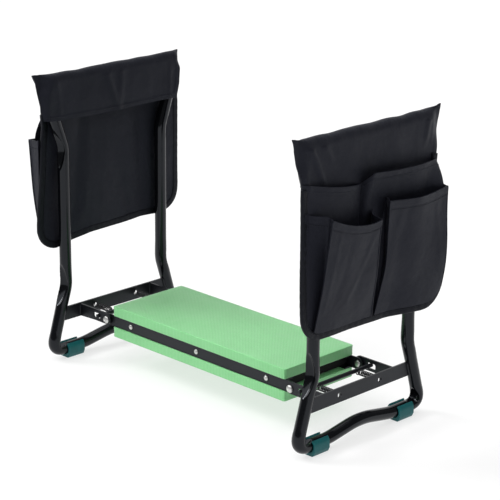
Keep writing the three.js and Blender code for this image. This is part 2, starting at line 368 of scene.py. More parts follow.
def lathe(profile, centre, axis, segments):
    """Turned solid: profile of (radius, height) from the axis back to the axis."""
    axis = Vector(axis).normalized()
    turn = Vector((0, 0, 1)).rotation_difference(axis).to_matrix()
    verts, faces, rows = [], [], []
    for r, h in profile:
        if r < 1e-9:
            rows.append([len(verts)])
            verts.append(turn @ Vector((0, 0, h)) + Vector(centre))
        else:
            row = []
            for k in range(segments):
                w = 2 * math.pi * k / segments
                row.append(len(verts))
                verts.append(turn @ Vector((r * math.cos(w), r * math.sin(w), h)) + Vector(centre))
            rows.append(row)
    for a, b in zip(rows, rows[1:]):
        for k in range(segments):
            n = (k + 1) % segments
            if len(a) == 1 and len(b) == 1:
                continue
            if len(a) == 1:
                faces.append((a[0], b[n], b[k]))
            elif len(b) == 1:
                faces.append((a[k], a[n], b[0]))
            else:
                faces.append((a[k], a[n], b[n], b[k]))
    return [tuple(v) for v in verts], faces


def normals_of(grid):
    du, dv = np.gradient(grid, axis=1), np.gradient(grid, axis=0)
    n = np.cross(du, dv)
    return n / np.maximum(np.linalg.norm(n, axis=2), 1e-12)[..., None]


def turned_piece(name, profile, centre, axis, segments, material, body):
    verts, faces = lathe(profile, centre, axis, segments)
    return crisp(make(name, verts, faces, material, body), 40)


def sheet_solid(points, thickness):
    """A grid (rows, columns, 3) made into a closed sheet of this thickness. Returns verts, faces."""
    p = np.asarray(points, float)
    rows, columns = p.shape[:2]
    normal = normals_of(p)
    half = normal * (np.asarray(thickness) / 2)[..., None] if np.ndim(thickness) else normal * thickness / 2
    verts = np.concatenate([(p + half).reshape(-1, 3), (p - half).reshape(-1, 3)])
    n = rows * columns
    faces = []
    for i in range(rows - 1):
        for k in range(columns - 1):
            a = i * columns + k
            b, c, d = a + 1, a + columns + 1, a + columns
            faces.append((a, b, c, d))
            faces.append((n + a, n + d, n + c, n + b))
    rim = (
        [(0, k) for k in range(columns)]
        + [(i, columns - 1) for i in range(1, rows)]
        + [(rows - 1, k) for k in range(columns - 2, -1, -1)]
        + [(i, 0) for i in range(rows - 2, 0, -1)]
    )
    ids = [i * columns + k for i, k in rim]
    for a, b in zip(ids, ids[1:] + ids[:1]):
        faces.append((b, a, n + a, n + b))
    return verts, faces


def ripple(seed, a, b, wavelength, count=7):
    """Smooth seeded noise of two coordinates, about -1 to 1."""
    rng = np.random.default_rng(seed)
    total = 0.0
    for _ in range(count):
        w = rng.uniform(0, 2 * np.pi)
        k = 2 * np.pi / (wavelength * rng.uniform(0.7, 1.6))
        total = total + np.sin(k * (a * np.cos(w) + b * np.sin(w)) + rng.uniform(0, 2 * np.pi))
    return total / math.sqrt(count)


def chaikin(points, times):
    """Rounds a polyline's corners; points (n, ...) keep their ends."""
    p = np.asarray(points, float)
    for _ in range(times):
        q = np.empty((2 * (len(p) - 1), *p.shape[1:]))
        q[0::2] = p[:-1] * 0.75 + p[1:] * 0.25
        q[1::2] = p[:-1] * 0.25 + p[1:] * 0.75
        p = np.concatenate([p[:1], q, p[-1:]])
    return p


# ------------------------------------------------------------------ seat
def rounded_pad(name, lo, hi, edge, corner, node):
    """Foam pad: flat faces, softened edges and a faintly uneven surface."""
    lo, hi = np.array(lo), np.array(hi)
    centre, half = (lo + hi) / 2, (hi - lo) / 2
    outline = []
    for cx, cy, start in ((1, -1, -90), (1, 1, 0), (-1, 1, 90), (-1, -1, 180)):
        for k in range(7):
            w = math.radians(start + 15 * k)
            outline.append((cx * (half[0] - corner) + corner * math.cos(w),
                            cy * (half[1] - corner) + corner * math.sin(w)))
    dense = []
    for (x0, y0), (x1, y1) in zip(outline, outline[1:] + outline[:1]):
        steps = max(1, round(math.hypot(x1 - x0, y1 - y0) / 0.008))
        dense += [(x0 + (x1 - x0) * k / steps, y0 + (y1 - y0) * k / steps) for k in range(steps)]
    dense = np.array(dense)
    inward = -dense / np.linalg.norm(dense, axis=1)[:, None]
    rows = []
    levels = []
    for k in range(5):
        w = math.pi / 2 * k / 4
        levels.append((edge * (1 - math.sin(w)), -half[2] + edge * (1 - math.cos(w))))
    for k in range(1, 4):
        bulge = 0.0004 * math.sin(math.pi * k / 4)
        levels.append((bulge, -half[2] + edge + (2 * half[2] - 2 * edge) * k / 4))
    for k in range(5):
        w = math.pi / 2 * k / 4
        levels.append((edge * (1 - math.cos(w)), half[2] - edge * (1 - math.sin(w))))
    for inset, z in levels:
        rows.append([(x + inset * ix, y + inset * iy, z) for (x, y), (ix, iy) in zip(dense, inward)])
    rows = np.array(rows)
    n = len(dense)
    verts = list((rows + centre).reshape(-1, 3))
    faces = ring_faces(len(rows), n)
    for row, z, flip in ((len(rows) - 1, half[2], False), (0, -half[2], True)):
        previous = [row * n + k for k in range(n)]
        for scale in (0.93, 0.8, 0.6, 0.35):
            now = []
            for k in range(n):
                x, y = dense[k] * scale
                bow = 0.0004 * (1 - scale) + 0.00025 * ripple(3 if flip else 4, x, y, 0.06, 5)
                now.append(len(verts))
                verts.append(np.array((x, y, z + (-bow if flip else bow))) + centre)
            for k in range(n):
                m = (k + 1) % n
                f = (previous[k], previous[m], now[m], now[k])
                faces.append(f[::-1] if flip else f)
            previous = now
        middle = len(verts)
        verts.append(np.array((0, 0, z + (-0.0004 if flip else 0.0004))) + centre)
        for k in range(n):
            m = (k + 1) % n
            f = (previous[k], previous[m], middle)
            faces.append(f[::-1] if flip else f)
    obj = make(name, verts, faces, FOAM, "seat")
    crisp(obj, 50)
    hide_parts(node)
    return obj


rounded_pad("pad_top_foam", pad_lo, pad_hi, 0.0012, 0.0035, "pad_top")
rounded_pad("pad_bottom_foam", low_pad_lo, low_pad_hi, 0.0012, 0.0035, "pad_bottom")


def repaint(node, material, edge=0.0):
    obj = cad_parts[node]
    obj.data.materials.clear()
    obj.data.materials.append(material)
    if edge:
        bevel(obj, edge)


repaint("seat_board", BOARD, 0.001)
for side, _ in SIDES:
    repaint(f"rail_{side}", BLACK_PLATE, 0.0006)
for end, _ in ENDS:
    repaint(f"{end}_cross_plate", BLACK_PLATE, 0.0007)
    for side, _ in SIDES:
        repaint(f"{end}_ear_{side}", BLACK_PLATE, 0.0006)


def domed(radius, height, shank, depth, dimple=0.0):
    """Profile of a domed head on a shank, from the shank's end out to the crown."""
    profile = [(0, -depth), (shank * 0.8, -depth), (shank, -depth + 0.0006), (shank, 0), (radius * 0.97, 0),
               (radius, 0.0005)]
    for k in range(1, 9):
        w = math.pi / 2 * k / 8
        profile.append((radius * math.cos(w * 0.96), 0.0005 + (height - 0.0005) * math.sin(w)))
    if dimple:
        profile[-1] = (dimple * 1.2, height)
        profile += [(dimple, height - 0.0001), (dimple * 0.7, height - 0.0007)]
    return profile + [(0, profile[-1][1])]


for side, s in SIDES:
    for i in range(3):
        node = f"rail_screw_{side}_{i + 1}"
        lo, hi = box(node)
        centre = (lo + hi) / 2
        profile = domed(0.0042, 0.0023, 0.002, 0.002, dimple=0.0009)
        centre[1] = RAIL_FACE * s + 0.0002 * s
        obj = turned_piece(f"{node}_head", profile, centre, (0, s, 0), 32, ZINC, "seat")
        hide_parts(node)


# ------------------------------------------------------------------ tube frames
OUTLINE = [  # y, z, bend radius, depth of the pinch on the inside of the bend; half the loop
    (0.0, 0.0255, 0.0, 0.0),
    (0.014, 0.0255, 0.15, 0.0),
    (0.072, 0.0156, 0.15, 0.0),
    (0.1415, 0.0156, 0.019, 0.0042),
    (0.108, 0.128, 0.06, 0.0072),
    (0.108, 0.367, 0.06, 0.0072),
    (0.146, TOP_BAR_Z, 0.036, 0.005),
    (0.0, TOP_BAR_Z, 0.0, 0.0),
]


def half_loop():
    """Centre line of half the loop as (y, z) points, with the places and sides of its pinches."""
    points, dents = [], []
    last = np.array(OUTLINE[0][:2])

    def straight(a, b):
        n = max(2, int(np.linalg.norm(b - a) / 0.006))
        return [a + (b - a) * k / n for k in range(n)]

    for i in range(1, len(OUTLINE) - 1):
        y, z, radius, pinch = OUTLINE[i]
        corner = np.array((y, z))
        before = np.array(OUTLINE[i - 1][:2]) - corner
        after = np.array(OUTLINE[i + 1][:2]) - corner
        before /= np.linalg.norm(before)
        after /= np.linalg.norm(after)
        turn = math.pi - math.acos(np.clip(before @ after, -1, 1))
        reach = radius * math.tan(turn / 2)
        enter, leave = corner + before * reach, corner + after * reach
        points += straight(last, enter)
        steps = max(8, int(reach / 0.0015))
        for k in range(steps):
            t = k / steps
            points.append((1 - t) ** 2 * enter + 2 * t * (1 - t) * corner + t * t * leave)
        if pinch:
            inside = before + after
            dents.append(((enter + leave + 2 * corner) / 4, inside / np.linalg.norm(inside), pinch))
        last = leave
    points += straight(last, np.array(OUTLINE[-1][:2]))
    points.append(np.array(OUTLINE[-1][:2]))
    return np.array(points), dents


def resample(points, near):
    """Even steps along a polyline, 2 mm near the given centres and 7 mm elsewhere."""
    length = run_length(points)
    spots = [length[np.argmin(np.linalg.norm(points - c, axis=1))] for c, _, _ in near]
    s, out = 0.0, [0.0]
    while s < length[-1] - 0.004:
        s += 0.002 if any(abs(s - spot) < 0.045 for spot in spots) else 0.006
        out.append(min(s, length[-1]))
    out[-1] = length[-1]
    at = np.array(out)
    return points_at(points, length, at), at, spots


def tube_loop(end, s):
    raw, dents = half_loop()
    line, at, spots = resample(raw, dents)
    half = [np.array((y, z)) for y, z in line]
    whole = half + [np.array((-y, z)) for y, z in line[-2:0:-1]]
    total = at[-1]
    arc = list(at) + list(2 * total - at[-2:0:-1])
    marks = [(spot, centre, inside, pinch) for spot, (centre, inside, pinch) in zip(spots, dents)]
    marks += [(2 * total - spot, centre * (-1, 1), inside * (-1, 1), pinch)
              for spot, centre, inside, pinch in marks]
    p = np.array([(s * FRAME_X, y, z) for y, z in whole])
    t = tangents(p, closed=True)
    sides = 44
    angle = np.linspace(0, 2 * np.pi, sides, endpoint=False)
    sections = []
    x_axis = np.array((1.0, 0, 0))
    for i in range(len(p)):
        b = np.cross(t[i], x_axis)
        u, v = TUBE_R * np.cos(angle), TUBE_R * np.sin(angle)
        for spot, centre, inside, pinch in marks:
            gap = (arc[i] - spot) / (0.038 if 0.06 < p[i][2] < 0.45 else 0.026)
            if abs(gap) >= 1:
                continue
            way = 1.0 if b @ np.array((0, *inside)) > 0 else -1.0
            w = 0.0094 * math.sqrt(1 - gap * gap)
            rim = math.sqrt(TUBE_R ** 2 - w * w)
            depth = pinch * (1 - gap * gap) ** 0.8
            a = v * way
            valley = rim - depth * (1 - np.abs(np.clip(u / w, -1, 1)) ** 1.35) + 0.0002
            inner = (np.abs(u) < w) & (a > 0)
            share = smoothstep((1 - np.abs(u) / w) / 0.13)
            v = np.where(inner, way * (a + (np.minimum(valley, a) - a) * share), v)
            swell = (0.0013 if p[i][2] < 0.2 else 0.0006) * (1 - gap * gap) ** 1.5
            u = u * (1 + swell / TUBE_R)
        sections.append(u[:, None] * x_axis + v[:, None] * b)
    verts, faces = sweep(p, np.array(sections), closed=True)
    obj = make(f"{end}_tube", verts, faces, BLACK, f"{end}_leg")
    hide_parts(f"{end}_frame")
    return obj


def leg_y(z):
    """Centre line of the leg between the foot bar and the knee."""
    (y0, z0), (y1, z1) = OUTLINE[3][:2], OUTLINE[4][:2]
    return y0 + (y1 - y0) * (z - z0) / (z1 - z0)


def bead(name, path, radius, seed, body):
    """A weld bead: a lumpy round run along a path."""
    path = np.asarray(path, float)
    length = run_length(path)
    steps = max(12, int(length[-1] / 0.0007))
    at = np.linspace(0, length[-1], steps)
    p = points_at(path, length, at)
    rng = np.random.default_rng(seed)
    lumps = 1 + 0.16 * np.abs(np.sin(np.pi * at / 0.0024 + rng.uniform(0, 3)))
    ends = smoothstep(np.minimum(at, at[-1] - at) / 0.0015)
    size = radius * lumps * (0.25 + 0.75 * ends)
    sections = round_sections(p, 1.0, 12, (1, 0, 0.01)) * size[:, None, None]
    verts, faces = sweep(p, sections)
    return make(name, verts, faces, BLACK_PLATE, body)


def coil_points(x0, x1, y, z, radius, turns, hook):
    """A tension spring along x with a hook at each end."""
    points = []
    for k in range(10):
        w = math.pi * 1.25 * (1 - k / 9)
        points.append((x0 - 0.5 * hook + hook * 0.5 * math.cos(w), y, z + hook * 0.8 * math.sin(w) * -1))
    n = int(turns * 16)
    for k in range(n + 1):
        w = 2 * math.pi * k / 16
        grow = smoothstep(min(k, n - k) / 10)
        r = radius * grow
        points.append((x0 + (x1 - x0) * k / n, y + r * math.cos(w), z + r * math.sin(w)))
    for k in range(10):
        w = math.pi * 1.25 * k / 9
        points.append((x1 + 0.5 * hook - hook * 0.5 * math.cos(w), y, z + hook * 0.8 * math.sin(w)))
    return np.array(points)


def foot_clip(name, y0, y1, z, body, x):
    """C clip on the foot bar: open on top, thick flat sole, soft ends."""
    inside, outside = 0.0103, 0.0134
    half = math.radians(40)
    outline = []
    for k in range(23):
        w = math.pi / 2 + half + (2 * math.pi - 2 * half) * k / 22
        c, sn = math.cos(w), math.sin(w)
        r = outside
        px, pz = r * c, r * sn
        if sn < 0 and abs(px) < 0.0098:
            pz = -z
        elif sn < 0:
            pz = min(pz, -z + (abs(px) - 0.0098) * 2.2)
        outline.append((px, max(pz, -z)))
    inner = []
    for k in range(23):
        w = math.pi / 2 + half + (2 * math.pi - 2 * half) * (22 - k) / 22
        inner.append((inside * math.cos(w), inside * math.sin(w)))
    loop = outline + inner
    m = len(loop)
    rows = []
    for f, shrink in ((0, 0.0008), (0.0009, 0.0), (0.5, 0.0), (-0.0009, 0.0), (1, 0.0008)):
        y = y0 + f if 0 < f < 0.01 else y1 + f if f < 0 else y0 + (y1 - y0) * f
        row = []
        for k, (a, b) in enumerate(loop):
            r = math.hypot(a, b) or 1
            sign = -1 if k < 23 else 1
            row.append((x + a + sign * shrink * a / r, y, z + max(b + sign * shrink * b / r, -z)))
        rows.append(row)
    verts = np.array(rows).reshape(-1, 3)
    faces = ring_faces(len(rows), m)
    n = 23
    for row, flip in ((0, True), (len(rows) - 1, False)):
        o = row * m
        for k in range(n - 1):
            f = (o + k, o + k + 1, o + m - 2 - k, o + m - 1 - k)
            faces.append(f if flip else f[::-1])
    obj = make(name, verts, faces, TEAL, body)
    crisp(obj, 35)
    return obj


for end, s in ENDS:
    leg, latch = f"{end}_leg", f"{end}_latch"
    tube_loop(end, s)
    x_in, x_out = s * plate_lo[0], s * plate_hi[0]
    bottom, top = plate_lo[2], plate_hi[2]
    for side, t in SIDES:
        # welds: plate to tube on both faces, and ear to plate
        for tag, x in (("inner", x_in), ("outer", x_out)):
            path = [(x + (0.0004 if tag == "outer" else -0.0004) * s, t * (leg_y(z) - TUBE_R - 0.0006), z)
                    for z in (bottom + 0.001, (bottom + top) / 2, top - 0.001)]
            bead(f"{end}_weld_{tag}_{side}", path, 0.0019, 11 + t, leg)
        lo, hi = box(f"{end}_ear_{side}")
        z0, z1 = lo[2] + 0.001, hi[2] - 0.001
        for tag, y in (("in", lo[1] if t > 0 else hi[1]), ("out", hi[1] if t > 0 else lo[1])):
            bead(f"{end}_ear_weld_{tag}_{side}", [(x_in - 0.0003 * s, y, z0), (x_in - 0.0003 * s, y, z1)],
                 0.0015, 31 + t, leg)
        # rivet
        node = f"{end}_pivot_rivet_{side}"
        outer = t * EAR_FACE
        profile = domed(0.0063, 0.0037, 0.004, 0.0078, dimple=0.0014)
        centre = (s * PIVOT_X, outer + 0.0002 * t, PIVOT_Z)
        head = turned_piece(f"{node}_head", profile, centre, (0, t, 0), 44, ZINC, leg)
        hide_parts(node)
        tail = [(0, -0.0002), (0.0052, -0.0002), (0.0055, 0.0003), (0.0052, 0.0012), (0.004, 0.0019),
                (0.002, 0.0022), (0, 0.0022)]
        centre = (s * PIVOT_X, t * EAR_BACK, PIVOT_Z)
        turned_piece(f"{node}_tail", tail, centre, (0, -t, 0), 36, ZINC, leg)
        # foot
        lo, hi = box(f"{end}_foot_{side}")
        clip = foot_clip(f"{end}_foot_clip_{side}", lo[1], hi[1], OUTLINE[2][1], leg, s * FRAME_X)
        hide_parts(f"{end}_foot_{side}")
        # spring
        node = f"{end}_spring_{side}"
        lo, hi = box(node)
        y = (lo[1] + hi[1]) / 2
        points = coil_points(SPRING_FROM, SPRING_TO, 0.0, SLOT_Z, 0.0042, 11, 0.0066)
        points[:, 0] *= s
        points[:, 1] = y + points[:, 1]
        verts, faces = sweep(points, round_sections(points, 0.0009, 8, (0, 0, 1)))
        if s > 0:
            faces = [f[::-1] for f in faces]
        spring = make(f"{end}_coil_{side}", verts, faces, WIRE, leg)
        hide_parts(node)
        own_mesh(spring)
    node = f"{end}_latch_rod"
    lo, hi = box(node)
    cx, cz, r, L = (lo[0] + hi[0]) / 2, (lo[2] + hi[2]) / 2, (hi[2] - lo[2]) / 2, hi[1]
    profile = [(0, -L), (r * 0.7, -L), (r, -L + 0.001)]
    profile += [(r, -L + 0.001 + (2 * L - 0.002) * k / 12) for k in range(1, 12)]
    profile += [(r, L - 0.001), (r * 0.7, L), (0, L)]
    rod = turned_piece(f"{node}_round", profile, (cx, 0, cz), (0, 1, 0), 28, BLACK_PLATE, latch)
    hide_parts(node)


# ------------------------------------------------------------------ fabric bags
MM = 0.001
FOLD_UNITS = np.array((MM, MM, 1, MM, MM, MM))
WRAP_R = TUBE_R + 0.0016
BAG_TOP = 0.0137
FLAP_END = 0.4165
CLOSING_START, CLOSING_RUN = 0.134, 0.02
PANEL_FOOT = 0.187


def lookup(table, at):
    keys, values = zip(*table)
    return np.interp(at, keys, values)


def width_at(near, far, z):
    return float(lookup(near, z)), float(lookup(far, z))


class Bag:
    """Shape of one bag. Its panel stands off the frame plane by stand(y, z), away from the seat.

    Sizes are given in mm. near, far, flap_near, flap_far: side edges of panel and flap, y at z; bottom: lower
    edge, z at y; folds, flap_folds: creases (y, z at the top, slope, width, depth, z at the foot); shut,
    flap_shut, tips: how the open ends of the sleeve close and rise; lip: stand-off of the second pocket.
    """

    def __init__(self, s, seed, curl, shut, lip, flap_shut, folds, flap_folds, **edges):
        self.s, self.seed, self.lip = s, seed, lip
        self.curl, self.shut = curl * MM, shut * MM
        self.flap_shut = flap_shut[0] * MM, flap_shut[1]
        self.folds, self.flap_folds = np.array(folds) * FOLD_UNITS, np.array(flap_folds) * FOLD_UNITS
        for name, table in edges.items():
            setattr(self, name, np.array(table) * MM)

    def lift_of_corner(self, y):
        """How much the rounded corners raise the lower edge at y."""
        left, right = self.near[0][1] + self.corners[0], self.far[0][1] - self.corners[1]
        out = 0.0
        for over, r in ((left - y, self.corners[0]), (y - right, self.corners[1])):
            over = np.clip(over, 0, r * 0.9995)
            out = out + r - np.sqrt(r * r - over * over)
        return out

    def bottom_z(self, y):
        return lookup(self.bottom, y) + self.lift_of_corner(y)

    def creases(self, table, y, z):
        total = 0.0
        for y0, z0, slope, width, depth, low in table:
            line = y0 + slope * (z0 - z)
            fade = smoothstep((z - low) / 0.03) * smoothstep((z0 + 0.012 - z) / 0.02)
            total = total + depth * np.exp(-((y - line) / width) ** 2) * fade
        return total

    def closing(self, y, z):
        """0 where the sleeve is open round the bar, 1 where its ends lie flat together."""
        return smoothstep((np.abs(y) - CLOSING_START) / CLOSING_RUN) * smoothstep((z - 0.428) / 0.035)

    def stand(self, y, z):
        d = WRAP_R + 0.0011 * ripple(self.seed, y, z * 0.6, 0.11) * smoothstep((0.47 - z) / 0.06)
        lean = smoothstep((y * self.s - 0.03) / 0.11) * smoothstep((0.39 - z) / 0.15)
        d = d + self.curl * lean
        d = d + self.creases(self.folds, y, z)
        slack = smoothstep((0.088 - np.abs(y)) / 0.05) * smoothstep((0.462 - z) / 0.08)
        d = np.maximum(d, WRAP_R - 0.0002) - 0.0028 * slack
        shut = self.closing(y, z)
        return d * (1 - shut) + (self.shut + 0.0012) * shut

    def place(self, y, z, d):
        return np.stack(np.broadcast_arrays(self.s * (FRAME_X + d), y, z), -1)


def main_sheet(end, bag):
    """Panel, wrap over the top bar and inner flap as one sheet, thicker at its hems."""
    columns = 141
    c = np.linspace(0, 1, columns)
    c = c - 0.02 * np.sin(2 * np.pi * c)
    rows, thick = [], []

    def hem(y, y0, y1, active):
        gap = np.minimum(y - y0, y1 - y)
        return FABRIC * (1 + HEM_GAIN * active * smoothstep((SIDE_HEM - gap) / 0.0012))

    low = PANEL_FOOT
    fine = 0.045
    levels = np.concatenate([fine * np.linspace(0, 1, 20) ** 1.8, np.linspace(fine, TOP_BAR_Z - low, 92)[1:]])
    for level in levels:
        share = level / (TOP_BAR_Z - low)
        z_line = low + level
        y0, y1 = width_at(bag.near, bag.far, z_line)
        inset = []
        for r in bag.corners:
            over = max(0.0, r - level)
            inset.append(r - math.sqrt(max(r * r - over * over, 0.0)))
        y = (y0 + inset[0]) + (y1 - y0 - sum(inset)) * c
        base = lookup(bag.bottom, y)
        z = base + (TOP_BAR_Z - base) * share
        rows.append(bag.place(y, z, bag.stand(y, z)))
        thick.append(hem(y, y0, y1, float(z_line > 0.425)))
    for k in range(1, 18):
        w = math.pi * k / 18
        t = k / 18
        z_line = TOP_BAR_Z + BAG_TOP * math.sin(w)
        y0, y1 = (a * (1 - t) + b * t for a, b in zip(width_at(bag.near, bag.far, z_line),
                                                      width_at(bag.flap_near, bag.flap_far, z_line)))
        y = y0 + (y1 - y0) * c
        shut = bag.closing(y, TOP_BAR_Z)
        crown = np.interp(y, (y0, y0 + 0.045, y1 - 0.045, y1), (bag.tips[0], 0.0, 0.0, bag.tips[1]))
        crown = crown * np.abs(crown) / max(abs(bag.tips[0]), abs(bag.tips[1]))
        sag = 0.0013 * np.exp(-((np.abs(y) - 0.078) / 0.017) ** 2) - 0.0005 * ripple(bag.seed + 5, y, 0, 0.05)
        z = TOP_BAR_Z + (BAG_TOP + crown - sag) * math.sin(w)
        open_d = WRAP_R * math.cos(w)
        shut_d = bag.shut + 0.0012 * math.cos(w)
        rows.append(bag.place(y, z, open_d * (1 - shut) + shut_d * shut))
        thick.append(hem(y, y0, y1, 1.0))
    for z_line in np.linspace(TOP_BAR_Z, FLAP_END, 44):
        hang = (TOP_BAR_Z - z_line) / (TOP_BAR_Z - FLAP_END)
        y0, y1 = width_at(bag.flap_near, bag.flap_far, z_line)
        y = y0 + (y1 - y0) * c
        raised = np.interp(y, (-0.15, -0.12), (0.004, 0.0))
        z = z_line + hang * (0.0012 * ripple(bag.seed + 9, y, 0, 0.12) + raised)
        d = -(WRAP_R + 0.0014 * hang + 0.0015 * hang * (1 + ripple(bag.seed + 3, y, z, 0.08)))
        d = d - bag.creases(bag.flap_folds, y, z)
        down = float(smoothstep(hang / 0.35))
        start = CLOSING_START + (bag.flap_shut[0] - CLOSING_START) * down
        run = CLOSING_RUN - 0.006 * down
        shut = smoothstep((np.abs(y) - start) / run) * (1 - bag.flap_shut[1] * hang)
        rows.append(bag.place(y, z, d * (1 - shut) + (bag.shut - 0.0012) * shut))
        edge = smoothstep((FLAP_END + SIDE_HEM - z_line) / 0.0012)
        thick.append(np.maximum(hem(y, y0, y1, 1.0), FABRIC * (1 + HEM_GAIN * edge)))
    grid, thick = np.array(rows), np.array(thick)
    flip = slice(None) if bag.s > 0 else slice(None, None, -1)
    verts, faces = sheet_solid(grid[:, flip], thick[:, flip])
    obj = make(f"{end}_bag_sheet", verts, faces, CLOTH, f"{end}_leg")
    crisp(obj, 60)
    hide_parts(f"{end}_bag_panel", f"{end}_bag_sleeve")
    return obj, grid


def pocket_grid(bag, points, base, lift, seed, folds=(), levels=48):
    """Bellows pocket as a grid and its thickness.

    points: (y at foot, y at mouth, stand-off at foot, stand-off at mouth, z of mouth, bow in y, bow outward).
    base: height of the foot at y.
    """
    control = np.array(points, float)
    rows, thick = [], []
    shares = np.concatenate([np.linspace(0, 0.9, levels - 10), np.linspace(0.9, 1, 11)[1:]])
    for share in shares:
        arch = 4 * share * (1 - share)
        y = control[:, 0] + (control[:, 1] - control[:, 0]) * share + control[:, 5] * arch
        h = control[:, 2] + (control[:, 3] - control[:, 2]) * share + control[:, 6] * arch
        y, h, mouth = chaikin(np.stack([y, h, control[:, 4]], 1), 3).T
        foot = base(y)
        z = foot + (mouth - foot) * share
        free = smoothstep((h - 0.004) / 0.012)
        h = h + (0.0012 * ripple(seed, y, z * 0.5, 0.075) + bag.creases(folds, y, z)) * free
        rows.append(bag.place(y, z, bag.stand(y, z) + 0.0012 + (lift - 0.0012) * min(1.0, share * 2) + h))
        thick.append(FABRIC * (1 + HEM_GAIN * smoothstep((MOUTH_HEM - (mouth - z)) / 0.0012)))
    return np.array(rows), np.array(thick)


def front(y0, y1, z0, z1, h0, h1, foot0, foot1, f0, f1, bow, sag, n=9):
    """Control points (mm) across a pocket's front, between its two folds."""
    out = []
    for k in range(1, n):
        t = k / n
        arch = 4 * t * (1 - t)
        out.append((foot0 + (foot1 - foot0) * t, y0 + (y1 - y0) * t, f0 + (f1 - f0) * t + 1.2 * arch,
                    h0 + (h1 - h0) * t + bow * arch, z0 + (z1 - z0) * t - sag * arch, 0.0, 1.5 * arch))
    return out


def strip(name, path, normals, body, width, thick, material=None, lumps=0.07):
    """Flat rounded tape along a path. normals point out of the cloth."""
    path, normals = np.asarray(path, float), np.asarray(normals, float)
    t = tangents(path)
    normals = normals - t * np.sum(normals * t, 1)[:, None]
    normals /= np.linalg.norm(normals, axis=1)[:, None]
    across = np.cross(normals, t)
    length = run_length(path)
    pucker = 1 + lumps * np.sin(length / 0.0021) * np.abs(np.sin(length / 0.023))
    shape = []
    for k in range(20):
        w = 2 * math.pi * k / 20
        a, b = math.cos(w), math.sin(w)
        shape.append((math.copysign(abs(a) ** 0.5, a), math.copysign(abs(b) ** 0.55, b)))
    sections = np.array([
        [across[i] * (a * width / 2) + normals[i] * (b * thick / 2 * pucker[i]) for a, b in shape]
        for i in range(len(path))
    ])
    verts, faces = sweep(path, sections)
    return make(name, verts, faces, material or TAPE, body)


def stitches(name, path, normals, body):
    """A row of thread stitches lying on the cloth along a path."""
    pitch, long, width = 0.0042, 0.0029, 0.00055
    path, normals = np.asarray(path, float), np.asarray(normals, float)
    length = run_length(path)
    verts, faces = [], []
    for k in range(int(length[-1] / pitch)):
        s0 = pitch * (k + 0.2)
        p0, p1 = points_at(path, length, s0), points_at(path, length, s0 + long)
        n = points_at(normals, length, s0 + long / 2)
        n /= np.linalg.norm(n)
        t = (p1 - p0) / np.linalg.norm(p1 - p0)
        b = np.cross(n, t)
        o = len(verts)
        for f, r in ((0, 0.15), (0.2, 0.9), (0.8, 0.9), (1, 0.15)):
            c = p0 + (p1 - p0) * f + n * width * (0.55 * r - 0.25)
            for w in range(6):
                a = math.pi / 3 * w
                verts.append(c + width * r * (math.cos(a) * b + 0.7 * math.sin(a) * n))
        faces += [(o + i * 6 + w, o + i * 6 + (w + 1) % 6, o + i * 6 + 6 + (w + 1) % 6, o + i * 6 + 6 + w)
                  for i in range(3) for w in range(6)]
        faces.append(tuple(o + w for w in range(6))[::-1])
        faces.append(tuple(o + 18 + w for w in range(6)))
    return make(name, verts, faces, THREAD, body)


def line_on(grid, row, outward, offset):
    """A path along a grid row and its normals on the outward side, lifted off the cloth by offset."""
    n = normals_of(grid)
    if outward * np.sum(n[row, :, 0]) < 0:
        n = -n
    return grid[row] + n[row] * offset, n[row]


